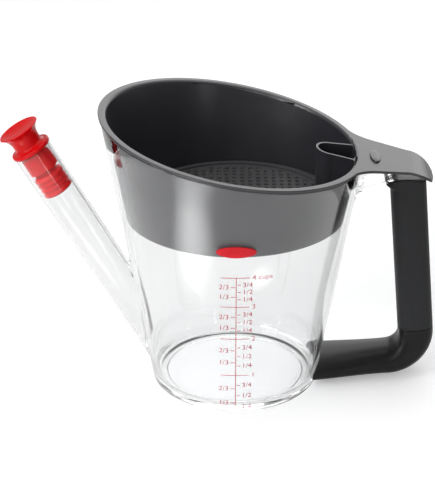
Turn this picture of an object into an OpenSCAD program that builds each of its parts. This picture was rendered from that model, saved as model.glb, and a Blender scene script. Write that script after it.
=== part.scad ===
// Fat separator jug: a clear measuring jug with a low slanting spout, a lift-out strainer
// that covers the mouth, and a silicone stopper that plugs the spout.
// Origin on the jug's axis at the table, +Z up, handle towards +X, spout towards -X.

/* [Jug] */
// Outside diameter of the jug at the table
base_d = 98.8; // [92:0.2:104]
// Outside diameter of the jug's cone at the rim height
mouth_d = 152.4; // [144:0.2:158]
// Wall thickness of the jug
jug_wall = 2.2; // [1.8:0.1:3.2]
// Thickness of the jug's floor
floor_t = 3.2; // [2.6:0.1:5]
// Depth of the recess inside the foot ring
foot_recess = 1; // [0.5:0.1:1.4]
// Width of the foot ring
foot_w = 5; // [3:0.5:8]

/* [Rim] */
// Height of the rim's top face on the jug's axis
rim_h = 158.2; // [152:0.1:164]
// Tilt of the rim in degrees, spout end up
rim_tilt = 10.3; // [9:0.1:12]
// Thickness of the strainer's flange
flange_t = 1.8; // [1.5:0.1:2.4]
// Overhang of the flange past the jug's wall
flange_over = 0.6; // [0.4:0.1:1.6]

/* [Spout] */
// Lean of the spout from upright in degrees
spout_lean = 30; // [26:0.5:33]
// Length of the spout along its axis, from the jug's wall to its mouth
spout_len = 122.8; // [112:0.1:132]
// Height where the spout's axis meets the jug's wall
spout_root_h = 40.5; // [37:0.1:46]
// Outside diameter of the spout at its mouth
spout_d = 22.8; // [21:0.1:26]
// Wall thickness of the spout
spout_wall = 2.1; // [1.6:0.1:2.6]

/* [Stopper] */
// Diameter of the stopper's top disc
disc_d = 24.8; // [22:0.2:30]
// Height of the top disc's upper edge above the spout's mouth
disc_h = 15.4; // [13:0.2:20]
// Length of the plug inside the spout
plug_len = 29; // [25:0.5:34]

/* [Handle] */
// Lean of the grip from upright in degrees, top towards the jug
handle_lean = 5; // [3:0.5:6]
// Distance from the jug's axis to the grip's axis, along the lower arm
stem_reach = 111.2; // [108:0.1:118]
// Height of the lower arm's underside above the table, beside the jug
arm_clear = 0.6; // [0.4:0.1:3]
// Bend radius of the elbow's axis
elbow_r = 18.5; // [16:0.5:24]
// Thickness of the grip, from the finger side to the back
grip_t = 21; // [19:0.5:24]
// Width of the grip, from side to side
grip_w = 22; // [19:0.5:26]
// Thickness of the soft layer on the grip
grip_skin = 3; // [2:0.5:4]
// Width of the lower arm where it meets the jug
root_w = 40; // [34:0.5:44]

/* [Strainer] */
// Depth of the strainer from the rim's centre to its underside
strainer_depth = 47.9; // [42:0.1:54]
// Wall thickness of the strainer
strainer_wall = 1.4; // [1.2:0.1:2.2]
// Thickness of the perforated plate
plate_t = 2; // [1.5:0.1:3]
// Diameter of the strainer's holes
hole_d = 2.9; // [2:0.1:3.4]
// Spacing of the strainer's holes
hole_pitch = 4.7; // [4.5:0.1:7]
// Width of the thumb tab where it leaves the rim
tab_w = 43; // [38:0.5:48]
// Reach of the vent channel inwards from the strainer's wall
vent_reach = 23; // [18:0.5:28]
// Width of the vent channel at the strainer's wall
vent_w = 26; // [20:0.5:30]

/* [Hidden] */
$fn = 96;
// Clearances: bonded joints, lid on lip, plug in spout
bond_gap = 0.05;
lip_gap = 0.2;
plug_gap = 0.15;
// Half size of the cutting blocks, and how far a cut runs past a face
span = mouth_d + spout_len;
overcut = 5;
// Turn of one step along an arc, and along a small rounded edge
arc_step = 6;
edge_step = 22.5;
// Clear and dark plastics, soft grip, silicone
clear_tint = [0.86, 0.9, 0.92, 0.35];
charcoal = [0.13, 0.13, 0.14];
black = [0.05, 0.05, 0.055];
slate = [0.17, 0.18, 0.2];
red = [0.75, 0.05, 0.06];

// Jug cone
taper = (mouth_d - base_d) / 2 / rim_h;
wall_across = jug_wall * sqrt(1 + taper * taper);
foot_round = 2.4;
corner_r = 8;
function jug_r(z) = base_d / 2 + taper * z;
function bore_r(z) = jug_r(z) - wall_across;

// Tilted rim plane, and a thumb tab thinner than the flange so that it clears the jug's lip
tab_thinner = 0.3;
tab_t = flange_t - tab_thinner;
rim_slope = tan(rim_tilt);
rim_r = jug_r(rim_h) + flange_over;
rim_shift = -rim_r * taper * rim_slope;
rim_end_x = rim_r / (1 + taper * rim_slope);
rim_peak_x = -rim_r / (1 - taper * rim_slope);
function rim_z(x) = rim_h - rim_slope * x;
rim_peak = rim_z(rim_peak_x);

// Spout axis
spout_draft = 0.006;
spout_sin = sin(spout_lean);
spout_cos = cos(spout_lean);
mouth_x = -jug_r(spout_root_h) - spout_len * spout_sin;
mouth_z = spout_root_h + spout_len * spout_cos;
spout_low_r = spout_d / 2 - spout_draft * spout_len;
spout_tail = 45;
function spout_r(s) = spout_d / 2 + spout_draft * s;
function spout_bore_r(s) = spout_r(s) - spout_wall;
axis_at_table = mouth_x + mouth_z * spout_sin / spout_cos;
spread = spout_sin / spout_cos - taper;
crotch_z = (axis_at_table + base_d / 2 + spout_low_r / spout_cos) / spread;
port_z = (axis_at_table + base_d / 2 - wall_across - spout_bore_r(-spout_len) / spout_cos) / spread;
port_x = -bore_r(port_z);
port_past = 2;
port_len = (port_x - mouth_x) * spout_sin + (mouth_z - port_z) * spout_cos + port_past;
web_t = 3;
web_h = 4.5;
web_sunk = 1;

// Handle frame: u along the lower arm, v up the grip
arm_power = 2.5;
grip_power = 3.2;
sides = 40;
root_t = 12;
arm_t = 16.5;
arm_w = 29;
root_sunk = 8;
root_u = base_d / 2 - root_sunk;
arm_h = root_t / 2 + (arm_clear - root_u * sin(handle_lean)) / cos(handle_lean);
elbow_u = stem_reach - elbow_r;
elbow_v = arm_h + elbow_r;
elbow_steps = 14;
arm_steps = 8;
grip_steps = 8;
flare_steps = 4;
grip_lift = 2.3;
grip_low_edge = 0.5;
grip_edge = 1.2;
grip_flare = 2.8;
flare_h = 3.6;
flare_drop = 3.8;
tab_room = 1.3;
cover_t = 4.9;
cover_in = 0.8;
crown_r = 25;
crown_turn = 40;
function hand_x(u, v) = u * cos(handle_lean) - v * sin(handle_lean);
function hand_z(u, v) = u * sin(handle_lean) + v * cos(handle_lean);
grip_top_v = (rim_h - tab_t - tab_room - cover_t
              - stem_reach * (sin(handle_lean) + rim_slope * cos(handle_lean)))
    / (cos(handle_lean) - rim_slope * sin(handle_lean));
shoulder_v = elbow_v + grip_lift;
grip_low_v = shoulder_v + 2 * bond_gap;

// Arched seam between the grip's top and the cover of the bracket
seam_x = hand_x(stem_reach, grip_top_v);
seam_hub_z = hand_z(stem_reach, grip_top_v) - crown_r;
flare_turn = asin((grip_t / 2 + grip_flare) / crown_r);

// Upper bracket between the jug and the handle: its arch leaves the jug's wall as a tangent
// and rises with a slope to the finger side of the seam
bracket_plate = 1.8;
bracket_w = 15;
bracket_web = 3;
arch_r = 11;
arch_slope = 15;
wall_lean = atan(taper);
seam_edge_x = seam_x - (crown_r + bond_gap) * sin(flare_turn);
seam_edge_z = seam_hub_z + (crown_r + bond_gap) * cos(flare_turn);
arch_gap = seam_edge_x - base_d / 2 - arch_r / cos(wall_lean) + arch_r * sin(arch_slope);
arch_z = (seam_edge_z - arch_r * cos(arch_slope) - arch_gap * tan(arch_slope))
    / (1 - taper * tan(arch_slope));
arch_x = jug_r(arch_z) + arch_r / cos(wall_lean);

// Strainer cone, snug at the rim's spout end and looser at its floor
gap_low = 1.5;
gap_top = 0.3;
strainer_z = rim_h - strainer_depth;
strainer_low_r = bore_r(strainer_z) - gap_low;
strainer_slope = (bore_r(rim_peak) - gap_top - strainer_low_r) / (rim_peak - strainer_z);
function strainer_r(z) = strainer_low_r + strainer_slope * (z - strainer_z);
plate_r = strainer_r(strainer_z) - strainer_wall - bond_gap;
plate_ring_w = 2;
plate_ring_h = 1;
ring_inset = 3;

// Thumb tab outline
tab_fillet = 25;
fillet_bite = 0.4;
tab_fillet_end = 256;
tab_end_w = 33.5;
tab_end_power = 3;
tab_past = 4;
tab_end = seam_x + grip_t / 2 + tab_past;
tab_end_len = 14.6;
tab_bend_r = 25;
tab_bend_to = 49;
bend_x = tab_end - tab_bend_r * (sin(tab_bend_to) - sin(rim_tilt));
bend_hub_x = bend_x - tab_bend_r * sin(rim_tilt);
bend_hub_z = rim_z(bend_x) - tab_bend_r * cos(rim_tilt);
fillet_y = tab_w / 2 + tab_fillet;
fillet_x = rim_shift + sqrt(pow(rim_r - fillet_bite + tab_fillet, 2) - pow(fillet_y, 2));
fillet_from = 180 + atan2(fillet_y, fillet_x - rim_shift);

// Vent channel
vent_wall = 1.2;
vent_tip_w = 17.5;
vent_drop = 0.2;
vent_tip_x = strainer_r(rim_z(rim_end_x)) - strainer_wall - vent_reach;

// Stopper: ribbed seal, groove, neck, flange, bell-shaped waist and dished disc
plug_round = 2;
rib_count = 3;
rib_pitch = 3.1;
rib_depth = 0.6;
rib_steps = 8;
shoulder_r = 2.6;
groove_h = 0.9;
groove_depth = 3.2;
neck_foot = 1.7;
neck_ease = 0.5;
neck_r = spout_bore_r(0) - neck_ease;
seal_r = spout_bore_r(-plug_len) - plug_gap;
rib_low = plug_round - plug_len;
seal_top = rib_low + rib_count * rib_pitch;
groove_low = seal_top + shoulder_r;
flange_past = 0.7;
flange_r = spout_d / 2 + flange_past;
flange_round = 1;
flange_h = 3;
waist_r = 8.4;
waist_round = 2.2;
waist_len = 1.8;
bell_low = flange_h + waist_round + waist_len;
disc_edge = 0.5;
bell_wide = disc_d / 2 - waist_r;
bell_high = disc_h - disc_edge - bell_low;
bell_r = (bell_wide * bell_wide + bell_high * bell_high) / (2 * bell_wide);
bell_turn = 2 * atan(bell_wide / bell_high);
dish_edge = 1.2;
dish_depth = 2;
dish_r = disc_d / 2 - dish_edge;
dish_ball_r = (dish_r * dish_r + dish_depth * dish_depth) / (2 * dish_depth);

// Points of an arc, from one angle to another
function arc(x, y, r, from, to) =
    let (steps = ceil(abs(to - from) / arc_step))
    [for (i = [0 : steps]) [x + r * cos(from + (to - from) * i / steps),
                            y + r * sin(from + (to - from) * i / steps)]];
function mix(a, b, t) = a + (b - a) * t;
function ease(t) = t * t * (3 - 2 * t);
function signed_power(v, power) = sign(v) * pow(abs(v), 2 / power);

// Solid cone about the jug's axis between two heights
module upright_cone(low_z, high_z, low_r, high_r) {
    translate([0, 0, low_z])
        cylinder(h = high_z - low_z, r1 = low_r, r2 = high_r);
}

// The jug's outside as a solid, with a margin
module jug_outside(margin) {
    low = -spout_tail;
    high = rim_peak + overcut;
    upright_cone(low, high, jug_r(low) + margin, jug_r(high) + margin);
}

// Everything above the rim's top face lowered by a drop
module above_rim(drop) {
    translate([0, 0, rim_h])
        rotate([0, rim_tilt, 0])
            translate([-span, -span, -drop])
                cube([2 * span, 2 * span, span]);
}

// A side outline given a thickness across the jug
module across(width) {
    rotate([90, 0, 0])
        translate([0, 0, -width / 2])
            linear_extrude(width)
                children();
}

// Frame at the spout's mouth, Z out along the spout
module at_spout() {
    translate([mouth_x, 0, mouth_z])
        rotate([0, -spout_lean, 0])
            children();
}

// Half section of the jug: foot ring, floor with rounded corner, tapered wall
module jug_section() {
    inner_corner = bore_r(floor_t + corner_r) - corner_r;
    foot_in = base_d / 2 - foot_round - foot_w;
    top = rim_peak + overcut;
    polygon(concat(
        [[0, foot_recess], [foot_in - foot_recess, foot_recess], [foot_in, 0]],
        arc(jug_r(foot_round) - foot_round, foot_round, foot_round, -90, 0),
        [[jug_r(top), top], [bore_r(top), top]],
        arc(inner_corner, floor_t + corner_r, corner_r, 0, -90),
        [[0, floor_t]]));
}

module jug_body() {
    color(clear_tint)
    difference() {
        rotate_extrude()
            jug_section();
        above_rim(flange_t + lip_gap);
        at_spout()
            translate([0, 0, -port_len])
                cylinder(h = port_len, r1 = spout_bore_r(-port_len), r2 = spout_bore_r(0));
    }
}

// Small web in the crotch between the spout and the jug
module spout_web() {
    low = crotch_z - web_h;
    high = crotch_z + web_h;
    tube_x = axis_at_table + spout_low_r / spout_cos - high * spout_sin / spout_cos;
    across(web_t)
        polygon([[-jug_r(low), low], [-jug_r(high), high], [tube_x - web_sunk, high]]);
}

module spout_tube() {
    whole = spout_len + spout_tail;
    color(clear_tint)
    difference() {
        union() {
            at_spout()
                translate([0, 0, -whole])
                    cylinder(h = whole, r1 = spout_r(-whole), r2 = spout_r(0));
            spout_web();
        }
        at_spout()
            translate([0, 0, -whole])
                cylinder(h = whole, r1 = spout_bore_r(-whole), r2 = spout_bore_r(0));
        jug_outside(bond_gap);
    }
}

// One ring of a handle piece, square to its axis, with its own inner and outer reach
function ring(u, v, turn, inner, outer, half_w, power) =
    [for (k = [0 : sides - 1])
        let (side = signed_power(cos(360 * k / sides), power),
             across = signed_power(sin(360 * k / sides), power),
             reach = side * (side > 0 ? inner : outer))
        [u - sin(turn) * reach, half_w * across, v + cos(turn) * reach]];

// Two triangles between neighbours of ring i and ring j
function band(i, j) =
    [for (k = [0 : sides - 1])
        let (n = (k + 1) % sides)
        each [[i * sides + k, j * sides + k, i * sides + n],
              [i * sides + n, j * sides + k, j * sides + n]]];

// Solid through a list of rings, its ends closed
module swept_solid(rings) {
    last = len(rings) - 1;
    polyhedron(
        points = [for (r = rings) each r],
        faces = concat(
            [[for (k = [0 : sides - 1]) k]],
            [for (i = [0 : last - 1]) each band(i, i + 1)],
            [[for (k = [sides - 1 : -1 : 0]) last * sides + k]]));
}

// Sleeve through a list of rings that closes on itself
module swept_sleeve(rings) {
    count = len(rings);
    polyhedron(
        points = [for (r = rings) each r],
        faces = [for (i = [0 : count - 1]) each band(i, (i + 1) % count)]);
}

// Ring of the grip or the stem, with a flare on the finger side
function stem_ring(v, shrink, flare) =
    ring(stem_reach, v, 90, grip_t / 2 - shrink + flare, grip_t / 2 - shrink, grip_w / 2 - shrink, grip_power);

// Everything above the arched seam, raised by a gap
module above_seam(gap) {
    half = (crown_r + gap) * sin(crown_turn);
    across(2 * grip_w)
        polygon(concat(
            arc(seam_x, seam_hub_z, crown_r + gap, 90 + crown_turn, 90 - crown_turn),
            [[seam_x + half, rim_peak], [seam_x - half, rim_peak]]));
}

// Lower arm, flared where it meets the jug
arm_rings = [for (i = [0 : arm_steps])
    let (t = i / arm_steps,
         half = mix(root_t, arm_t, t) / 2,
         spread_w = mix(root_w, arm_w, ease(t)) / 2)
    ring(mix(root_u, elbow_u, t), arm_h, 0, half, half, spread_w, arm_power)];

elbow_rings = [for (i = [1 : elbow_steps])
    let (t = i / elbow_steps,
         half = mix(arm_t, grip_t, ease(t)) / 2)
    ring(elbow_u + elbow_r * sin(90 * t), elbow_v - elbow_r * cos(90 * t), 90 * t,
         half, half, mix(arm_w, grip_w, ease(t)) / 2, mix(arm_power, grip_power, t))];

// Arm, elbow and shoulder under the grip, then the stem inside it
module handle_core() {
    color(black)
    difference() {
        rotate([0, -handle_lean, 0])
            swept_solid(concat(
                arm_rings, elbow_rings,
                [stem_ring(shoulder_v, 0, 0),
                 stem_ring(shoulder_v + bond_gap, grip_skin, 0),
                 stem_ring(grip_top_v + overcut, grip_skin, 0)]));
        jug_outside(bond_gap);
        above_seam(0);
    }
}

// Rounded lower end of the grip, its straight length and the flared finger side at its top
grip_rings = concat(
    [for (a = [0 : edge_step : 90])
        stem_ring(grip_low_v + grip_edge * (1 - cos(a)), grip_low_edge * (1 - sin(a)), 0)],
    [for (i = [1 : grip_steps])
        stem_ring(mix(grip_low_v + grip_edge, grip_top_v - flare_drop - flare_h, i / grip_steps), 0, 0)],
    [for (i = [1 : flare_steps])
        let (t = i / flare_steps)
        stem_ring(grip_top_v - flare_drop - flare_h * (1 - t), 0, grip_flare * ease(t))],
    [stem_ring(grip_top_v + overcut, 0, grip_flare),
     stem_ring(grip_top_v + overcut, grip_skin - bond_gap, 0),
     stem_ring(grip_low_v, grip_skin - bond_gap, 0)]);

module soft_grip() {
    color(slate)
    difference() {
        rotate([0, -handle_lean, 0])
            swept_sleeve(grip_rings);
        above_seam(0);
    }
}

// Side outline of the bracket: arch off the jug, seam on the grip, top a little under the thumb tab
module bracket_side() {
    under = tab_t + tab_room;
    polygon(concat(
        [[0, arch_z + arch_r * sin(wall_lean)]],
        arc(arch_x, arch_z, arch_r, 180 - wall_lean, 90 + arch_slope),
        arc(seam_x, seam_hub_z, crown_r + bond_gap, 90 + flare_turn, 90 - flare_turn),
        arc(bend_hub_x, bend_hub_z, tab_bend_r - under, 90 - tab_bend_to, 90 - rim_tilt),
        [[0, rim_z(0) - under / cos(rim_tilt)]]));
}

// Plan of the cover on the grip
module cover_plan() {
    polygon([for (a = [0 : arc_step : 360 - arc_step])
        [seam_x + (grip_t / 2 - cover_in) * signed_power(cos(a), grip_power),
         (grip_w / 2 - cover_in) * signed_power(sin(a), grip_power)]]);
}

// Web and bottom plate of the bracket, as far as the grip's middle
module bracket_beam() {
    intersection() {
        translate([0, -grip_w / 2, 0])
            cube([seam_x, grip_w, rim_peak]);
        union() {
            across(bracket_web)
                bracket_side();
            across(bracket_w)
                difference() {
                    bracket_side();
                    translate([0, bracket_plate])
                        bracket_side();
                }
        }
    }
}

module handle_bracket() {
    color(clear_tint)
    difference() {
        union() {
            bracket_beam();
            intersection() {
                linear_extrude(rim_peak)
                    cover_plan();
                across(grip_w)
                    bracket_side();
            }
        }
        jug_outside(bond_gap);
    }
}

// Plan of the thumb tab: fillets off the rim, tapering sides, rounded end
module tab_plan() {
    start = tab_end - tab_end_len;
    fillet = arc(fillet_x, fillet_y, tab_fillet, fillet_from, tab_fillet_end);
    tip = [for (a = [90 : -arc_step : 0])
        [start + tab_end_len * signed_power(cos(a), tab_end_power),
         tab_end_w / 2 * signed_power(sin(a), tab_end_power)]];
    half = concat(fillet, tip);
    polygon(concat(
        [[rim_r / 2, 0]], half,
        [for (i = [len(half) - 2 : -1 : 0]) [half[i][0], -half[i][1]]]));
}

// Side of the thumb tab: level with the rim, then bent down over the handle's top
module tab_side() {
    polygon(concat(
        [[0, rim_z(0)]],
        arc(bend_hub_x, bend_hub_z, tab_bend_r, 90 - rim_tilt, 90 - tab_bend_to),
        arc(bend_hub_x, bend_hub_z, tab_bend_r - tab_t, 90 - tab_bend_to, 90 - rim_tilt),
        [[0, rim_z(0) - tab_t / cos(rim_tilt)]]));
}

module thumb_tab() {
    intersection() {
        linear_extrude(rim_peak)
            tab_plan();
        across(2 * rim_r)
            tab_side();
    }
}

// Plan of the vent channel, grown or shrunk by a margin
module vent_plan(grow) {
    tip_r = vent_tip_w / 2;
    hub_x = vent_tip_x + tip_r;
    translate([hub_x, 0])
        circle(r = tip_r + grow);
    polygon([[hub_x, -tip_r - grow], [rim_r, -vent_w / 2 - grow],
             [rim_r, vent_w / 2 + grow], [hub_x, tip_r + grow]]);
}

// Inside of the strainer, grown into its wall by a margin
module strainer_inside(grow) {
    low = strainer_z - overcut;
    high = rim_peak + overcut;
    upright_cone(low, high, strainer_r(low) - strainer_wall + grow, strainer_r(high) - strainer_wall + grow);
}

module vent_channel() {
    difference() {
        intersection() {
            translate([0, 0, strainer_z + plate_t])
                linear_extrude(rim_peak - strainer_z)
                    difference() {
                        vent_plan(0);
                        vent_plan(-vent_wall);
                    }
            strainer_inside(strainer_wall / 2);
        }
        above_rim(vent_drop);
    }
}

module strainer_basket() {
    high = rim_peak + overcut;
    color(charcoal)
    union() {
        difference() {
            union() {
                upright_cone(strainer_z, high, strainer_r(strainer_z), strainer_r(high));
                difference() {
                    jug_outside(flange_over);
                    mirror([0, 0, 1])
                        translate([0, 0, -2 * rim_h])
                            mirror([1, 0, 0])
                                above_rim(-flange_t);
                }
                thumb_tab();
            }
            strainer_inside(0);
            above_rim(0);
        }
        vent_channel();
    }
}

// Centres of the strainer's holes, inside the raised ring and clear of the vent channel
function hole_fits(x, y) =
    norm([x, y]) < plate_r - ring_inset - plate_ring_w - hole_d
    && !(x > vent_tip_x - hole_d && abs(y) < vent_w / 2 + hole_d / 2);

module strainer_plate() {
    count = floor(plate_r / hole_pitch);
    ring_r = plate_r - ring_inset;
    color(charcoal)
    translate([0, 0, strainer_z])
        difference() {
            union() {
                cylinder(h = plate_t, r1 = plate_r, r2 = plate_r + strainer_slope * plate_t);
                cylinder(h = plate_t + plate_ring_h, r = ring_r);
            }
            translate([0, 0, plate_t])
                cylinder(h = plate_ring_h + overcut, r = ring_r - plate_ring_w);
            translate([0, 0, -overcut])
                linear_extrude(plate_t + 2 * overcut)
                    vent_plan(-vent_wall);
            translate([0, 0, plate_t])
                linear_extrude(plate_ring_h + overcut)
                    vent_plan(bond_gap);
            for (i = [-count : count], j = [-count : count])
                if (hole_fits(i * hole_pitch, j * hole_pitch))
                    translate([i * hole_pitch, j * hole_pitch, -overcut])
                        cylinder(h = plate_t + 2 * overcut, d = hole_d);
        }
}

// Half section of the stopper, its flange resting on the spout's mouth
module stopper_section() {
    polygon(concat(
        [[0, -plug_len]],
        arc(seal_r - plug_round, rib_low, plug_round, -90, 0),
        [for (i = [1 : rib_count * rib_steps])
            [seal_r - rib_depth * (1 - cos(360 * i / rib_steps)) / 2, rib_low + rib_pitch * i / rib_steps]],
        arc(seal_r - shoulder_r, seal_top, shoulder_r, arc_step, 90),
        [[seal_r - groove_depth, groove_low], [seal_r - groove_depth, groove_low + groove_h],
         [neck_r, groove_low + groove_h + neck_foot], [neck_r, lip_gap]],
        arc(flange_r - flange_round, lip_gap + flange_round, flange_round, -90, 0),
        arc(flange_r - flange_round, flange_h - flange_round, flange_round, 0, 90),
        arc(waist_r + waist_round, flange_h + waist_round, waist_round, 270, 180),
        arc(waist_r + bell_r, bell_low, bell_r, 180, 180 - bell_turn),
        arc(disc_d / 2 - disc_edge, disc_h - disc_edge, disc_edge, 0, 90),
        arc(0, disc_h - dish_depth + dish_ball_r, dish_ball_r, asin(dish_r / dish_ball_r) - 90, -90)));
}

module stopper() {
    color(red)
    at_spout()
        rotate_extrude()
            stopper_section();
}

jug_body();
spout_tube();
handle_bracket();
handle_core();
soft_grip();
strainer_basket();
strainer_plate();
stopper();
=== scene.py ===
"""Looks of the fat separator jug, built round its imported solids. Metres, +Z up, handle towards +X."""
import math

import bmesh
import bpy
from mathutils import Matrix, Vector


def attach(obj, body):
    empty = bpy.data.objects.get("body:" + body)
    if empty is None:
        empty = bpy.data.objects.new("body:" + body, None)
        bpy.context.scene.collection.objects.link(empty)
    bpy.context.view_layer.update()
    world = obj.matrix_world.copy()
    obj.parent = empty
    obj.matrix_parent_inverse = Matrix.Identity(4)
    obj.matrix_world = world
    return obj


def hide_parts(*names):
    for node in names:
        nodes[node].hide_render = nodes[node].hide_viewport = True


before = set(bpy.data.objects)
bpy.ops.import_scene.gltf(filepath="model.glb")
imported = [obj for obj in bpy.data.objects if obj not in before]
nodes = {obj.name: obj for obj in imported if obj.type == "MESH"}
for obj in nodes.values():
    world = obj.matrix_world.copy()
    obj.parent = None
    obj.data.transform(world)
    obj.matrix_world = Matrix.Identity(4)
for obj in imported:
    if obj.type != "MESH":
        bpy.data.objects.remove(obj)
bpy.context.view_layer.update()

MM = 0.001

# Sizes of the part, the same as in its source
BASE_R = 49.4 * MM
MOUTH_R = 76.2 * MM
JUG_WALL = 2.2 * MM
FLOOR_T = 3.2 * MM
FOOT_RECESS = 1 * MM
FOOT_W = 5 * MM
FOOT_ROUND = 2.4 * MM
CORNER_R = 8 * MM
RIM_H = 158.2 * MM
RIM_TILT = math.radians(10.3)
FLANGE_T = 1.8 * MM
LIP_GAP = 0.2 * MM
BOND_GAP = 0.05 * MM
SPOUT_LEAN = math.radians(30)
SPOUT_LEN = 122.8 * MM
SPOUT_ROOT_H = 40.5 * MM
SPOUT_BORE_R = 9.3 * MM
SPOUT_DRAFT = 0.006
HANDLE_LEAN = math.radians(5)
STEM_REACH = 111.2 * MM
ARM_CLEAR = 0.6 * MM
ELBOW_R = 18.5 * MM
GRIP_T = 21 * MM
GRIP_W = 22 * MM
GRIP_SKIN = 3 * MM
ROOT_W = 40 * MM
ROOT_T = 12 * MM
ROOT_SUNK = 8 * MM
ARM_T = 16.5 * MM
ARM_W = 29 * MM
ARM_POWER = 2.5
GRIP_POWER = 3.2
TAB_T = 1.5 * MM
TAB_ROOM = 1.3 * MM
COVER_T = 4.9 * MM
CROWN_R = 25 * MM
GRIP_LIFT = 2.3 * MM
GRIP_EDGE = 1.2 * MM
GRIP_LOW_EDGE = 0.5 * MM
GRIP_FLARE = 2.8 * MM
FLARE_H = 3.6 * MM
FLARE_DROP = 3.8 * MM

# Sizes that follow from those
TAPER = (MOUTH_R - BASE_R) / RIM_H
WALL_ACROSS = JUG_WALL * math.hypot(1, TAPER)
RIM_SLOPE = math.tan(RIM_TILT)
LIP_H = RIM_H - (FLANGE_T + LIP_GAP) / math.cos(RIM_TILT)
ROOT_U = BASE_R - ROOT_SUNK
ARM_V = ROOT_T / 2 + (ARM_CLEAR - ROOT_U * math.sin(HANDLE_LEAN)) / math.cos(HANDLE_LEAN)
ELBOW_U = STEM_REACH - ELBOW_R
ELBOW_V = ARM_V + ELBOW_R
GRIP_TOP_V = (
    RIM_H - TAB_T - TAB_ROOM - COVER_T
    - STEM_REACH * (math.sin(HANDLE_LEAN) + RIM_SLOPE * math.cos(HANDLE_LEAN))
) / (math.cos(HANDLE_LEAN) - RIM_SLOPE * math.sin(HANDLE_LEAN))
SHOULDER_V = ELBOW_V + GRIP_LIFT
GRIP_LOW_V = SHOULDER_V + 2 * BOND_GAP
SEAM_HUB_U = STEM_REACH - CROWN_R * math.sin(HANDLE_LEAN)
SEAM_HUB_V = GRIP_TOP_V - CROWN_R * math.cos(HANDLE_LEAN)

# Small edges, the bond into the clear cover, and mesh fineness, of the looks alone
LIP_EDGE = 0.7 * MM
RECESS_EDGE = 0.5 * MM
SPOUT_EDGE = 0.4 * MM
BRACKET_EDGE = 0.35 * MM
STOPPER_EDGE = 0.3 * MM
SEAM_EDGE = 0.4 * MM
SEAM_BOND = 0.12 * MM
ROUND_TURNS = 256
HANDLE_SIDES = 128
PORT_SIDES = 96
OVAL_SIDES = 96
WELD = 0.002 * MM
FLAT_ANGLE = math.radians(0.3)
DOME_END = 0.98


def jug_r(z):
    """Outside radius of the jug at a height."""
    return BASE_R + TAPER * z


def bore_r(z):
    """Inside radius of the jug at a height."""
    return jug_r(z) - WALL_ACROSS


def hand_point(u, y, v):
    """A point of the handle's leaning frame as a point of the part."""
    c, s = math.cos(HANDLE_LEAN), math.sin(HANDLE_LEAN)
    return Vector((u * c - v * s, y, u * s + v * c))


def mix(a, b, t):
    return a + (b - a) * t


def ease(t):
    return t * t * (3 - 2 * t)


def steps(count, start=0):
    """Shares of the way from 0 to 1 in even steps."""
    return [i / count for i in range(start, count + 1)]


def round_angles(count):
    """Even angles once round a circle."""
    return [2 * math.pi * k / count for k in range(count)]


# Mesh helpers

def new_object(name, mesh):
    obj = bpy.data.objects.new(name, mesh)
    bpy.context.scene.collection.objects.link(obj)
    return obj


def mesh_object(name, points, faces):
    mesh = bpy.data.meshes.new(name)
    mesh.from_pydata([tuple(p) for p in points], [], faces)
    mesh.validate()
    bm = bmesh.new()
    bm.from_mesh(mesh)
    bmesh.ops.recalc_face_normals(bm, faces=bm.faces)
    bm.to_mesh(mesh)
    bm.free()
    mesh.shade_smooth()
    return new_object(name, mesh)


def ring_faces(ring_count, sides, closed=False):
    """Quads between neighbouring rings; with closed, from the last ring back to the first."""
    faces = []
    for i in range(ring_count if closed else ring_count - 1):
        j = (i + 1) % ring_count
        for k in range(sides):
            n = (k + 1) % sides
            faces.append((i * sides + k, i * sides + n, j * sides + n, j * sides + k))
    return faces


def swept_object(name, rings, closed=False):
    """A solid through rings of points; open ends are closed with flat faces."""
    sides = len(rings[0])
    faces = ring_faces(len(rings), sides, closed)
    if not closed:
        last = (len(rings) - 1) * sides
        faces.append(tuple(range(sides)))
        faces.append(tuple(range(last, last + sides)))
    return mesh_object(name, [p for r in rings for p in r], faces)


def bake_modifiers(obj):
    """Replaces an object's mesh by what its modifiers make of it."""
    graph = bpy.context.evaluated_depsgraph_get()
    made = bpy.data.meshes.new_from_object(obj.evaluated_get(graph))
    obj.modifiers.clear()
    obj.data = made


def cut(obj, cutter):
    """Takes one solid away from another and keeps the cut's edges sharp."""
    knife = obj.modifiers.new("cut", "BOOLEAN")
    knife.operation = "DIFFERENCE"
    knife.solver = "EXACT"
    knife.object = cutter
    bake_modifiers(obj)
    bpy.data.objects.remove(cutter)
    obj.data.shade_smooth()
    obj.data.set_sharp_from_angle(angle=math.radians(32))


def rounded_copy(node, name, width, share=None, sharp_angle=math.radians(35)):
    """A CAD node's shape with its sharp edges rounded over, in place of the node.
    share gives an edge's part of the rounding width, where the edges differ."""
    bm = bmesh.new()
    bm.from_mesh(nodes[node].data)
    bmesh.ops.remove_doubles(bm, verts=bm.verts, dist=WELD)
    bmesh.ops.dissolve_limit(bm, angle_limit=FLAT_ANGLE, verts=bm.verts, edges=bm.edges)
    weight = bm.edges.layers.float.new("bevel_weight_edge")
    for edge in bm.edges:
        sharp = len(edge.link_faces) == 2 and edge.calc_face_angle() > sharp_angle
        if sharp:
            edge[weight] = share(edge) if share else 1
        edge.smooth = not sharp or edge[weight] > 0
    mesh = bpy.data.meshes.new(name)
    bm.to_mesh(mesh)
    bm.free()
    if "custom_normal" in mesh.attributes:
        mesh.attributes.remove(mesh.attributes["custom_normal"])
    obj = new_object(name, mesh)
    bevel = obj.modifiers.new("rounding", "BEVEL")
    bevel.width = width
    bevel.segments = 4
    bevel.limit_method = "WEIGHT"
    bevel.use_clamp_overlap = share is None
    weights = obj.modifiers.new("even shading", "WEIGHTED_NORMAL")
    weights.keep_sharp = True
    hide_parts(node)
    return obj


# Material helpers

def new_material(name):
    """An empty material with a Principled shader, as (material, tree, shader)."""
    material = bpy.data.materials.new(name)
    material.use_nodes = True
    tree = material.node_tree
    return material, tree, tree.nodes["Principled BSDF"]


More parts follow.
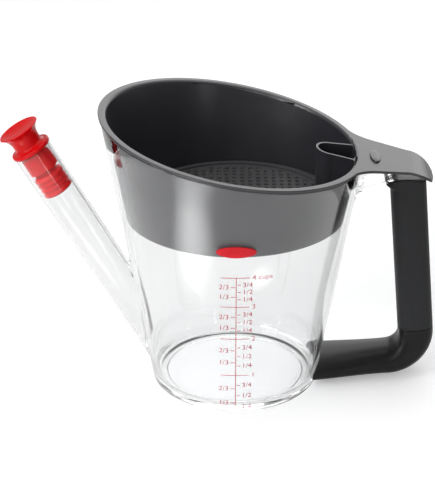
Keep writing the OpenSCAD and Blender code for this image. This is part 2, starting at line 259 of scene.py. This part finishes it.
def noise(tree, scale, detail=3.0):
    """Noise over the piece's own coordinates; scale is in features a metre."""
    place = tree.nodes.new("ShaderNodeTexCoord")
    texture = tree.nodes.new("ShaderNodeTexNoise")
    texture.inputs["Scale"].default_value = scale
    texture.inputs["Detail"].default_value = detail
    tree.links.new(place.outputs["Object"], texture.inputs["Vector"])
    return texture.outputs["Fac"]


def between(tree, share, low, high):
    """A share of 0 to 1 spread between two values."""
    spread = tree.nodes.new("ShaderNodeMapRange")
    spread.inputs["To Min"].default_value = low
    spread.inputs["To Max"].default_value = high
    tree.links.new(share, spread.inputs["Value"])
    return spread.outputs["Result"]


def blend_colours(tree, share, low, high):
    """A share spread between two colours: all low under 0.3 and all high over 0.7."""
    ramp = tree.nodes.new("ShaderNodeValToRGB")
    ramp.color_ramp.elements[0].position = 0.3
    ramp.color_ramp.elements[0].color = (*low, 1)
    ramp.color_ramp.elements[1].position = 0.7
    ramp.color_ramp.elements[1].color = (*high, 1)
    tree.links.new(share, ramp.inputs["Fac"])
    return ramp.outputs["Color"]


def bump(tree, shader, height, depth, strength=1.0):
    """Raises the shader's surface by a height pattern; depth is in metres."""
    node = tree.nodes.new("ShaderNodeBump")
    node.inputs["Strength"].default_value = strength
    node.inputs["Distance"].default_value = depth
    tree.links.new(height, node.inputs["Height"])
    tree.links.new(node.outputs["Normal"], shader.inputs["Normal"])


def moulded(name, low, high, rough, grain, grain_depth, mottle=60):
    """Moulded plastic: a faint mottle of colour, uneven gloss and a fine grain."""
    material, tree, shader = new_material(name)
    colour = blend_colours(tree, noise(tree, mottle), low, high)
    tree.links.new(colour, shader.inputs["Base Color"])
    tree.links.new(between(tree, noise(tree, grain / 3), *rough), shader.inputs["Roughness"])
    bump(tree, shader, noise(tree, grain), grain_depth)
    return material, tree, shader


def clear_plastic(name, bending):
    """Clear plastic with faint moulding waves; lamps shine through it."""
    material, tree, shader = new_material(name)
    shader.inputs["Base Color"].default_value = (0.98, 0.984, 0.986, 1)
    shader.inputs["Transmission Weight"].default_value = 1
    shader.inputs["IOR"].default_value = bending
    gloss = between(tree, noise(tree, 45), 0.0, 0.02)
    tree.links.new(gloss, shader.inputs["Roughness"])
    bump(tree, shader, noise(tree, 22, 1.0), 0.3 * MM, 0.02)
    light = tree.nodes.new("ShaderNodeLightPath")
    through = tree.nodes.new("ShaderNodeBsdfTransparent")
    through.inputs["Color"].default_value = (0.93, 0.935, 0.94, 1)
    pick = tree.nodes.new("ShaderNodeMixShader")
    tree.links.new(light.outputs["Is Shadow Ray"], pick.inputs["Fac"])
    tree.links.new(shader.outputs["BSDF"], pick.inputs[1])
    tree.links.new(through.outputs["BSDF"], pick.inputs[2])
    tree.links.new(pick.outputs["Shader"], tree.nodes["Material Output"].inputs["Surface"])
    return material


def charcoal_plastic():
    """Satin charcoal plastic of the strainer."""
    material, _, shader = moulded("charcoal_look", (0.021, 0.0205, 0.025), (0.026, 0.0255, 0.031),
                                  (0.28, 0.34), 700, 0.0005 * MM)
    shader.inputs["IOR"].default_value = 1.65
    return material


def charcoal_plate_plastic():
    """The strainer's perforated floor, with a duller finish; its colour is painted lighter than the
    basket's charcoal, as painted light from above.
    """
    return moulded("charcoal_plate_painted_light_look", (0.056, 0.056, 0.059), (0.069, 0.069, 0.072),
                   (0.42, 0.52), 1500, 0.004 * MM)[0]


def black_plastic():
    """Black plastic of the handle's arm, softly glossy."""
    material, _, shader = moulded("black_look", (0.010, 0.010, 0.0105), (0.013, 0.013, 0.0136),
                                  (0.30, 0.36), 1500, 0.002 * MM)
    shader.inputs["Specular IOR Level"].default_value = 0.2
    return material


def soft_rubber():
    """Matte dark rubber of the grip."""
    material, _, shader = moulded("rubber_look", (0.0075, 0.0078, 0.0095), (0.0097, 0.010, 0.0120),
                                  (0.66, 0.78), 3600, 0.04 * MM)
    shader.inputs["Sheen Weight"].default_value = 0.08
    shader.inputs["Sheen Roughness"].default_value = 0.5
    return material


def red_silicone():
    """Silicone of the stopper: satin, and a little light gets into it."""
    material, _, shader = moulded("silicone_look", (0.58, 0.0015, 0.003), (0.65, 0.002, 0.004),
                                  (0.20, 0.28), 1500, 0.004 * MM)
    shader.inputs["Specular IOR Level"].default_value = 0.2
    shader.inputs["Subsurface Weight"].default_value = 0.04
    shader.inputs["Subsurface Radius"].default_value = (0.003, 0.0004, 0.0004)
    return material


def red_ink():
    """Printed ink of the scale, slightly uneven."""
    return moulded("ink_look", (0.42, 0.012, 0.045), (0.54, 0.02, 0.06),
                   (0.40, 0.55), 3000, 0.004 * MM, mottle=900)[0]


def red_badge_plastic():
    """Gloss red plastic of the plain badge."""
    material, _, shader = moulded("badge_look", (0.60, 0.010, 0.019), (0.66, 0.013, 0.023),
                                  (0.22, 0.30), 1500, 0.008 * MM)
    shader.inputs["Specular IOR Level"].default_value = 0.2
    return material


CLEAR = clear_plastic("clear_plastic_look", 1.57)
CLEAR_SPOUT = clear_plastic("clear_spout_look", 1.46)
CHARCOAL = charcoal_plastic()
# The plate's charcoal is painted lighter than the basket's, as painted light from above.
CHARCOAL_PLATE_PAINTED_LIGHT = charcoal_plate_plastic()
BLACK = black_plastic()
RUBBER = soft_rubber()
SILICONE = red_silicone()
INK = red_ink()
BADGE = red_badge_plastic()


def dress(obj, body, material):
    """Gives a piece its material and its body."""
    obj.data.materials.clear()
    obj.data.materials.append(material)
    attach(obj, body)


# Jug

def rounded_profile(corners, arc_steps, divisions):
    """A half section through corners (r, z, rounding), with the long runs between them divided."""
    points = []
    last = len(corners) - 1
    for i, (r, z, rounding) in enumerate(corners):
        here = Vector((r, z))
        if i in (0, last) or not rounding:
            arc = [here]
        else:
            back = (Vector(corners[i - 1][:2]) - here).normalized()
            ahead = (Vector(corners[i + 1][:2]) - here).normalized()
            half = back.angle(ahead) / 2
            reach = rounding / math.tan(half)
            hub = here + (back + ahead).normalized() * rounding / math.sin(half)
            start, end = here + back * reach - hub, here + ahead * reach - hub
            turn = start.angle_signed(end)
            arc = [hub + Matrix.Rotation(-turn * t, 2) @ start for t in steps(arc_steps)]
        if points:
            run = points[-1]
            points += [run.lerp(arc[0], t) for t in steps(divisions)[1:-1]]
        points += arc
    return points


def lip_point(turn, foot_r):
    """Radius and height where a wall line that starts at foot_r meets the slanting lip."""
    lean = RIM_SLOPE * math.cos(turn)
    z = (LIP_H - lean * foot_r) / (1 + lean * TAPER)
    return foot_r + TAPER * z, z


def jug_profile(turn):
    """Half section of the jug in the upright plane at one turn."""
    foot_in = BASE_R - FOOT_ROUND - FOOT_W
    return rounded_profile([
        (0, FOOT_RECESS, 0),
        (foot_in - FOOT_RECESS, FOOT_RECESS, RECESS_EDGE),
        (foot_in, 0, RECESS_EDGE),
        (BASE_R, 0, FOOT_ROUND),
        (*lip_point(turn, BASE_R), LIP_EDGE),
        (*lip_point(turn, BASE_R - WALL_ACROSS), LIP_EDGE),
        (bore_r(FLOOR_T), FLOOR_T, CORNER_R),
        (0, FLOOR_T, 0),
    ], arc_steps=8, divisions=12)


def turned_object(name, profile):
    """A solid of revolution whose half section starts and ends on the axis and may change with the turn."""
    turns = round_angles(ROUND_TURNS)
    sections = [profile(a) for a in turns]
    inner = range(1, len(sections[0]) - 1)
    points = [
        Vector((sections[k][i].x * math.cos(a), sections[k][i].x * math.sin(a), sections[k][i].y))
        for i in inner for k, a in enumerate(turns)
    ]
    faces = ring_faces(len(inner), ROUND_TURNS)
    ends = (sections[0][0].y, sections[0][-1].y)
    for z, first in zip(ends, (0, (len(inner) - 1) * ROUND_TURNS)):
        points.append(Vector((0, 0, z)))
        faces += [(first + k, first + (k + 1) % ROUND_TURNS, len(points) - 1) for k in range(ROUND_TURNS)]
    return mesh_object(name, points, faces)


def spout_frame():
    """Place of the spout's mouth, Z out along the spout."""
    place = Vector((-jug_r(SPOUT_ROOT_H) - SPOUT_LEN * math.sin(SPOUT_LEAN), 0,
                    SPOUT_ROOT_H + SPOUT_LEN * math.cos(SPOUT_LEAN)))
    return Matrix.Translation(place) @ Matrix.Rotation(-SPOUT_LEAN, 4, "Y")


def spout_port_knife():
    """The spout's bore as a solid that reaches just through the jug's wall."""
    length = 139 * MM
    rings = []
    for s in (0, -length):
        r = SPOUT_BORE_R + SPOUT_DRAFT * s
        rings.append([spout_frame() @ Vector((r * math.cos(a), r * math.sin(a), s))
                      for a in round_angles(PORT_SIDES)])
    return swept_object("port_knife", rings)


def build_jug():
    jug = turned_object("jug_shell", jug_profile)
    cut(jug, spout_port_knife())
    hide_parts("jug_body")
    dress(jug, "jug", CLEAR)


# Handle

def signed_power(value, power):
    return math.copysign(abs(value) ** (2 / power), value)


def hand_ring(u, v, turn, inner, outer, half_w, power):
    """One ring square to the handle's axis, in the handle's frame, with its own inner and outer reach."""
    ring = []
    for a in round_angles(HANDLE_SIDES):
        side = signed_power(math.cos(a), power)
        reach = side * (inner if side > 0 else outer)
        ring.append((u - math.sin(turn) * reach, half_w * signed_power(math.sin(a), power),
                     v + math.cos(turn) * reach))
    return ring


def hand_object(name, rings, closed=False):
    """A solid through rings of the handle's frame."""
    return swept_object(name, [[hand_point(*p) for p in ring] for ring in rings], closed)


def stem_ring(v, shrink, flare=0.0):
    half = GRIP_T / 2 - shrink
    return hand_ring(STEM_REACH, v, math.pi / 2, half + flare, half, GRIP_W / 2 - shrink, GRIP_POWER)


def seam_ring(shrink, flare=0.0, drop=0.0):
    """A ring of the stem on the arched seam or a drop below it; the seam is bonded into the clear cover."""
    return [(u, y, SEAM_HUB_V + math.sqrt(CROWN_R ** 2 - (u - SEAM_HUB_U) ** 2) + SEAM_BOND - drop)
            for u, y, _ in stem_ring(0, shrink, flare)]


def arm_ring(t):
    half = mix(ROOT_T, ARM_T, t) / 2
    half_w = mix(ROOT_W, ARM_W, ease(t)) / 2
    return hand_ring(mix(ROOT_U, ELBOW_U, t), ARM_V, 0, half, half, half_w, ARM_POWER)


def elbow_ring(t):
    """A ring of the elbow; its thickness goes on growing as along the arm before it levels out."""
    turn = math.pi / 2 * t
    growth = (ARM_T - ROOT_T) / 2 / (ELBOW_U - ROOT_U) * ELBOW_R * math.pi / 2
    half = mix(ARM_T, GRIP_T, ease(t)) / 2 + growth * t * (1 - t) ** 2
    return hand_ring(ELBOW_U + ELBOW_R * math.sin(turn), ELBOW_V - ELBOW_R * math.cos(turn), turn,
                     half, half, mix(ARM_W, GRIP_W, ease(t)) / 2, mix(ARM_POWER, GRIP_POWER, ease(t)))


def jug_knife():
    """The jug's outside as a solid, a bond's gap wider and reaching below the table."""
    rings = []
    below = 10 * MM
    for z in (-below, RIM_H):
        r = jug_r(z) + BOND_GAP
        rings.append([Vector((r * math.cos(a), r * math.sin(a), z)) for a in round_angles(ROUND_TURNS)])
    return swept_object("jug_knife", rings)


def build_handle_core():
    rings = [arm_ring(t) for t in steps(40)]
    rings += [elbow_ring(t) for t in steps(40, 1)]
    rings += [stem_ring(SHOULDER_V, 0), stem_ring(SHOULDER_V + BOND_GAP, GRIP_SKIN)]
    rings += [seam_ring(mix(GRIP_SKIN, DOME_END * GRIP_T / 2, t)) for t in steps(8)]
    core = hand_object("handle_moulding", rings)
    cut(core, jug_knife())
    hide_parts("handle_core")
    dress(core, "jug", BLACK)


def build_grip():
    quarter = [math.pi / 2 * t for t in steps(8)]
    flare_low = GRIP_TOP_V - FLARE_DROP - FLARE_H
    rings = [stem_ring(GRIP_LOW_V + GRIP_EDGE * (1 - math.cos(a)), GRIP_LOW_EDGE * (1 - math.sin(a)))
             for a in quarter]
    rings += [stem_ring(mix(GRIP_LOW_V + GRIP_EDGE, flare_low, t), 0) for t in steps(24, 1)]
    rings += [stem_ring(flare_low + FLARE_H * t, 0, GRIP_FLARE * ease(t)) for t in steps(12, 1)]
    rings += [seam_ring(SEAM_EDGE * (1 - math.cos(a)), GRIP_FLARE, SEAM_EDGE * (1 - math.sin(a)))
              for a in quarter]
    rings += [seam_ring(GRIP_SKIN - BOND_GAP), stem_ring(GRIP_LOW_V, GRIP_SKIN - BOND_GAP)]
    grip = hand_object("grip_sleeve", rings, closed=True)
    grip.data.set_sharp_from_angle(angle=math.radians(50))
    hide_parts("soft_grip")
    dress(grip, "jug", RUBBER)


# Printed scale, wrapped round the front of the cone

CUP_ML = 244.1
SCALE_START_ML = 51.4
INK_LIFT = 0.03 * MM
INK_T = 0.02 * MM
LINE_W = 0.45 * MM
TEXT_SIZE = 4.6 * MM
SCALE_CUPS = 4

# Places of the scale's bars and words beside its upright line, negative to the left
WHOLE_BAR = (-8.8 * MM, 7.6 * MM)
WHOLE_WORDS = 9.0 * MM
QUARTER_BAR = (0.8 * MM, 2.6 * MM)
QUARTER_WORDS = 3.5 * MM
THIRD_BAR = (-3.2 * MM, -0.5 * MM)
THIRD_WORDS = -4.0 * MM


def mark_height(cups):
    """Height where the conical jug holds a volume, counted from the scale's start below the floor."""
    floor_r = bore_r(FLOOR_T)
    volume = (cups * CUP_ML - SCALE_START_ML) * 1e-6
    level_r = (floor_r ** 3 + 3 * TAPER * volume / math.pi) ** (1 / 3)
    return FLOOR_T + (level_r - floor_r) / TAPER


def on_front(s, z, lift):
    """A point at a distance s to the right of the front line, at a height, lifted off the jug's wall."""
    r = jug_r(z) + lift
    a = s / jug_r(z)
    return Vector((r * math.sin(a), -r * math.cos(a), z))


def ink_strip(left, right, low, high, across, up):
    """A thin flat bar of ink as points and faces, divided so that it follows the wall."""
    points, faces = [], []
    for lift in (INK_LIFT, INK_LIFT + INK_T):
        points += [on_front(mix(left, right, i), mix(low, high, j), lift)
                   for j in steps(up) for i in steps(across)]
    row, layer = across + 1, (across + 1) * (up + 1)
    cells = [(i, j) for j in range(up) for i in range(across)]
    for i, j in cells:
        a = j * row + i
        faces.append((a, a + row, a + row + 1, a + 1))
        faces.append((layer + a, layer + a + 1, layer + a + row + 1, layer + a + row))
    rim = list(range(row))
    rim += [j * row + across for j in range(1, up + 1)]
    rim += [up * row + i for i in range(across - 1, -1, -1)]
    rim += [j * row for j in range(up - 1, 0, -1)]
    faces += [(a, b, layer + b, layer + a) for a, b in zip(rim, rim[1:] + rim[:1])]
    return points, faces


def ink_words(words, s, z, align):
    """Wrapped letters as points and faces; align is where s lies on the words."""
    curve = bpy.data.curves.new("words", "FONT")
    curve.body = words
    curve.size = TEXT_SIZE
    curve.align_x = align
    curve.align_y = "CENTER"
    curve.extrude = INK_T / 2
    curve.resolution_u = 5
    holder = new_object("words", curve)
    bpy.context.view_layer.update()
    graph = bpy.context.evaluated_depsgraph_get()
    flat = bpy.data.meshes.new_from_object(holder.evaluated_get(graph))
    points = [on_front(s + v.co.x, z + v.co.y, INK_LIFT + INK_T / 2 + v.co.z) for v in flat.vertices]
    faces = [tuple(p.vertices) for p in flat.polygons]
    bpy.data.objects.remove(holder)
    return points, faces


def scale_bar(ends, z, across):
    """A level bar of the scale at a height."""
    return ink_strip(*ends, z - LINE_W / 2, z + LINE_W / 2, across, 1)


def scale_marks():
    """Every bar and word of the scale: whole cups, quarters on the right and thirds on the left."""
    marks = [ink_strip(-LINE_W / 2, LINE_W / 2, mark_height(1 / 4), mark_height(SCALE_CUPS), 1, 60)]
    for cups in range(SCALE_CUPS):
        for part, words in enumerate(("1/4", "1/2", "3/4"), 1):
            z = mark_height(cups + part / 4)
            marks.append(scale_bar(QUARTER_BAR, z, 3))
            marks.append(ink_words(words, QUARTER_WORDS, z, "LEFT"))
        for part in (1, 2):
            z = mark_height(cups + part / 3)
            marks.append(scale_bar(THIRD_BAR, z, 3))
            marks.append(ink_words(f"{part}/3", THIRD_WORDS, z, "RIGHT"))
        whole = cups + 1
        words = f"{whole} cups" if whole == SCALE_CUPS else str(whole)
        z = mark_height(whole)
        marks.append(scale_bar(WHOLE_BAR, z, 16))
        marks.append(ink_words(words, WHOLE_WORDS, z, "LEFT"))
    return marks


def build_scale():
    points, faces = [], []
    for mark_points, mark_faces in scale_marks():
        first = len(points)
        points += mark_points
        faces += [tuple(first + i for i in f) for f in mark_faces]
    scale = mesh_object("measuring_scale", points, faces)
    scale.data.shade_flat()
    dress(scale, "jug", INK)


# Plain raised ovals: the red badge above the scale, and one on the strainer's tab

BADGE_W = 22.8 * MM
BADGE_H = 7.5 * MM
BADGE_Z = 114.9 * MM
BADGE_T = 0.9 * MM
TAB_OVAL_W = 17 * MM
TAB_OVAL_H = 6.4 * MM
TAB_OVAL_REACH = 82 * MM
TAB_OVAL_SIDE = -2 * MM
TAB_OVAL_T = 1.2 * MM
OVAL_EDGE = 0.6 * MM
OVAL_DOME = 0.25 * MM


def oval_ring(width, height, inset, lift):
    """A ring drawn in from an oval's edge, as places across, along and above a surface."""
    half_w, half_h = width / 2 - inset, height / 2 - inset
    return [(half_w * math.cos(a), half_h * math.sin(a), lift) for a in round_angles(OVAL_SIDES)]


def oval_object(name, width, height, thick, place):
    """A raised oval with a rounded edge and a slightly domed face, on the surface that place gives."""
    middle = DOME_END * height / 2
    side = thick - OVAL_DOME
    quarter = [math.pi / 2 * t for t in steps(6, 1)]
    rings = [oval_ring(width, height, middle * (1 - t), 0) for t in steps(3)]
    rings += [oval_ring(width, height, OVAL_EDGE * (1 - math.cos(a)), side * math.sin(a)) for a in quarter]
    rings += [oval_ring(width, height, mix(OVAL_EDGE, middle, t), side + OVAL_DOME * ease(t))
              for t in steps(6, 1)]
    return swept_object(name, [[place(*p) for p in ring] for ring in rings])


def on_badge_seat(across, along, lift):
    return on_front(across, BADGE_Z + along, INK_LIFT + lift)


def on_tab(across, along, lift):
    """A point on the tab's flat top, which lies in the rim's slanting plane."""
    reach = TAB_OVAL_REACH + along
    c, s = math.cos(RIM_TILT), math.sin(RIM_TILT)
    return Vector((reach * c + lift * s, TAB_OVAL_SIDE + across, RIM_H - reach * s + lift * c))


def build_ovals():
    dress(oval_object("badge", BADGE_W, BADGE_H, BADGE_T, on_badge_seat), "jug", BADGE)
    dress(oval_object("tab_oval", TAB_OVAL_W, TAB_OVAL_H, TAB_OVAL_T, on_tab), "strainer", CHARCOAL)


# Rim of the strainer: its top is well rounded towards the inside and a little towards the outside

INNER_ROUND = 1.7 * MM
OUTER_ROUND = 0.5 * MM
UNDER_ROUND = 0.3 * MM
VENT_ZONE = 62 * MM
OUTER_ZONE = MOUTH_R - 3 * MM
FACING_UP = 0.5
FACING_IN = -0.7


def rim_share(edge):
    """Part of the inner rounding that an edge of the strainer takes; the vent's edges stay square."""
    middle = (edge.verts[0].co + edge.verts[1].co) / 2
    reach = math.hypot(middle.x, middle.y)
    outward = Vector((middle.x, middle.y, 0)).normalized()
    top = max(face.normal.z for face in edge.link_faces) > FACING_UP
    inward = min(face.normal.dot(outward) for face in edge.link_faces) < FACING_IN
    if top and inward and reach > VENT_ZONE:
        return 1
    if reach > OUTER_ZONE or middle.x > OUTER_ZONE:
        return (OUTER_ROUND if top else UNDER_ROUND) / INNER_ROUND
    return 0


def build_spout():
    spout = rounded_copy("spout_tube", "spout", SPOUT_EDGE)
    dress(spout, "jug", CLEAR_SPOUT)


def build_bracket():
    bracket = rounded_copy("handle_bracket", "bracket", BRACKET_EDGE)
    dress(bracket, "jug", CLEAR)


def build_strainer():
    """The basket with its rounded rim; the perforated plate keeps the solid's own shape."""
    basket = rounded_copy("strainer_basket", "strainer", INNER_ROUND, rim_share)
    dress(basket, "strainer", CHARCOAL)
    plate = nodes["strainer_plate"]
    # The plate's charcoal is painted lighter than the basket's, as painted light from above.
    plate.data.materials.clear()
    plate.data.materials.append(CHARCOAL_PLATE_PAINTED_LIGHT)


def build_stopper():
    stopper = rounded_copy("stopper", "spout_stopper", STOPPER_EDGE, sharp_angle=math.radians(18))
    dress(stopper, "stopper", SILICONE)


# The part

build_jug()
build_spout()
build_bracket()
build_handle_core()
build_grip()
build_scale()
build_ovals()
build_strainer()
build_stopper()


# Stage: reaches of the floor in metres, and strengths of its glow and of the studio's light

FLOOR_HALF = 4
FLOOR_DROP = 0.1 * MM
# Half width of the floor's pale middle, and the reach from which it is painted darker, as painted shade
# seen in reflections
PALE_HALF = 0.2
PAINTED_SHADE_FROM = 0.42
FADE_START = 0.5
FADE_END = 1
FLOOR_GLOW = 0.32
# Glow of the floor's middle seen in reflections and bounced light: painted light
REFLECTED_GLOW = 0.4
STUDIO_FRONT = 0.2
STUDIO_BACK = 0.45
STUDIO_BLEND = 0.5


def combine(tree, operation, a, b):
    """Two values as one, by the operation named."""
    node = tree.nodes.new("ShaderNodeMath")
    node.operation = operation
    tree.links.new(a, node.inputs[0])
    tree.links.new(b, node.inputs[1])
    return node.outputs["Value"]


def camera_ray(tree):
    return tree.nodes.new("ShaderNodeLightPath").outputs["Is Camera Ray"]


def eye_or(tree, share):
    """1 for what the camera sees directly, and elsewhere the share given."""
    return combine(tree, "MAXIMUM", camera_ray(tree), share)


def smooth_share(tree, value, start, end):
    """0 to 1, smoothly from a start to an end value."""
    ramp = tree.nodes.new("ShaderNodeMapRange")
    ramp.interpolation_type = "SMOOTHSTEP"
    ramp.inputs["From Min"].default_value = start
    ramp.inputs["From Max"].default_value = end
    tree.links.new(value, ramp.inputs["Value"])
    return ramp.outputs["Result"]


def axis_share(tree, place, axis, start, end):
    """0 to 1 along one axis of a place, smoothly from start to end."""
    parts = tree.nodes.new("ShaderNodeSeparateXYZ")
    tree.links.new(place, parts.inputs["Vector"])
    return smooth_share(tree, parts.outputs[axis], start, end)


def far_share(tree, place, start, end):
    """0 to 1 with the distance from the part, smoothly from start to end."""
    length = tree.nodes.new("ShaderNodeVectorMath")
    length.operation = "LENGTH"
    tree.links.new(place, length.inputs[0])
    return smooth_share(tree, length.outputs["Value"], start, end)


def build_floor():
    """Pale floor, white to the eye with the real shadow kept. For reflections and bounced light it is
    painted darker to the sides, as painted shade, and its middle glows, as painted light.
    Far from the part it runs into the white backdrop."""
    corners = [(-1, -1), (1, -1), (1, 1), (-1, 1)]
    floor = mesh_object("floor", [(x * FLOOR_HALF, y * FLOOR_HALF, -FLOOR_DROP) for x, y in corners],
                        [(0, 1, 2, 3)])
    material, tree, shader = new_material("floor_look")
    place = tree.nodes.new("ShaderNodeNewGeometry").outputs["Position"]
    # Painted shade and light for all but the eye: darker colour to the sides, glow in the middle.
    middle = combine(tree, "MULTIPLY", axis_share(tree, place, "X", -PAINTED_SHADE_FROM, -PALE_HALF),
                     axis_share(tree, place, "X", PAINTED_SHADE_FROM, PALE_HALF))
    pale = eye_or(tree, middle)
    glowing = eye_or(tree, between(tree, middle, 0, REFLECTED_GLOW))
    colour = blend_colours(tree, pale, (0.55, 0.55, 0.55), (0.8, 0.8, 0.8))
    tree.links.new(colour, shader.inputs["Base Color"])
    shader.inputs["Roughness"].default_value = 0.9
    shader.inputs["Specular IOR Level"].default_value = 0.0
    glow = tree.nodes.new("ShaderNodeEmission")
    tree.links.new(between(tree, glowing, 0, FLOOR_GLOW), glow.inputs["Strength"])
    both = tree.nodes.new("ShaderNodeAddShader")
    tree.links.new(shader.outputs["BSDF"], both.inputs[0])
    tree.links.new(glow.outputs["Emission"], both.inputs[1])
    backdrop = tree.nodes.new("ShaderNodeEmission")
    fade = tree.nodes.new("ShaderNodeMixShader")
    far = far_share(tree, place, FADE_START, FADE_END)
    tree.links.new(combine(tree, "MULTIPLY", camera_ray(tree), far), fade.inputs["Fac"])
    tree.links.new(both.outputs["Shader"], fade.inputs[1])
    tree.links.new(backdrop.outputs["Emission"], fade.inputs[2])
    tree.links.new(fade.outputs["Shader"], tree.nodes["Material Output"].inputs["Surface"])
    floor.data.materials.append(material)


def build_world():
    """White studio for the eye; for the rest its light comes from behind more than from the front."""
    world = bpy.data.worlds.new("studio")
    bpy.context.scene.world = world
    world.use_nodes = True
    tree = world.node_tree
    light = tree.nodes["Background"]
    toward = tree.nodes.new("ShaderNodeTexCoord").outputs["Generated"]
    behind = axis_share(tree, toward, "Y", -STUDIO_BLEND, STUDIO_BLEND)
    share = between(tree, behind, STUDIO_FRONT, STUDIO_BACK)
    tree.links.new(eye_or(tree, share), light.inputs["Strength"])
    light.inputs["Color"].default_value = (1, 1, 1, 1)


def area_light(name, place, aim, width, height, power, spread=180):
    """A rectangular lamp, in metres and watts; spread is the full angle in degrees of its beam."""
    lamp = bpy.data.lights.new(name, "AREA")
    lamp.shape = "RECTANGLE"
    lamp.size = width
    lamp.size_y = height
    lamp.energy = power
    lamp.spread = math.radians(spread)
    obj = new_object(name, lamp)
    obj.location = place
    obj.rotation_euler = (Vector(aim) - Vector(place)).to_track_quat("-Z", "Y").to_euler()


def build_camera():
    """The photograph's fitted view; its longer side and its focal length are in pixels."""
    long_side = 495
    focal = 1959.9
    camera = bpy.data.cameras.new("camera")
    camera.sensor_width = 36
    camera.lens = camera.sensor_width * focal / long_side
    obj = new_object("camera", camera)
    obj.location = (-10.51 * MM, -1040.54 * MM, 599.85 * MM)
    obj.rotation_euler = (math.radians(63.631), 0, 0)
    bpy.context.scene.camera = obj


def let_light_through():
    """Enough bounces for the light that runs round inside the clear walls."""
    bounces = 32
    cycles = bpy.context.scene.cycles
    cycles.max_bounces = bounces
    cycles.glossy_bounces = bounces
    cycles.transmission_bounces = bounces


build_floor()
build_world()
let_light_through()
area_light("key", (-0.9, -0.5, 1.3), (0, 0, 0.08), 0.8, 0.8, 7)
area_light("top", (0.3, 0.3, 1.6), (0, 0, 0.1), 1.2, 1.2, 7)
area_light("front", (-0.35, -1.3, 0.9), (0, 0, 0.1), 0.5, 0.5, 3)
area_light("back", (0.5, 1.9, 0.8), (0.1, 0, 0.15), 2.2, 1.2, 13)
area_light("side", (-1.07, -0.8, 0.65), (0, 0, 0.14), 0.6, 0.4, 8)
area_light("strip", (0.65, -1.25, 0.25), (-0.05, 0, 0.12), 0.08, 0.6, 0.6)
area_light("pool", (-0.12, -0.153, 0.35), (-0.12, -0.153, 0), 0.05, 0.05, 0.11, spread=18)
build_camera()
bpy.context.scene.view_settings.view_transform = "Standard"
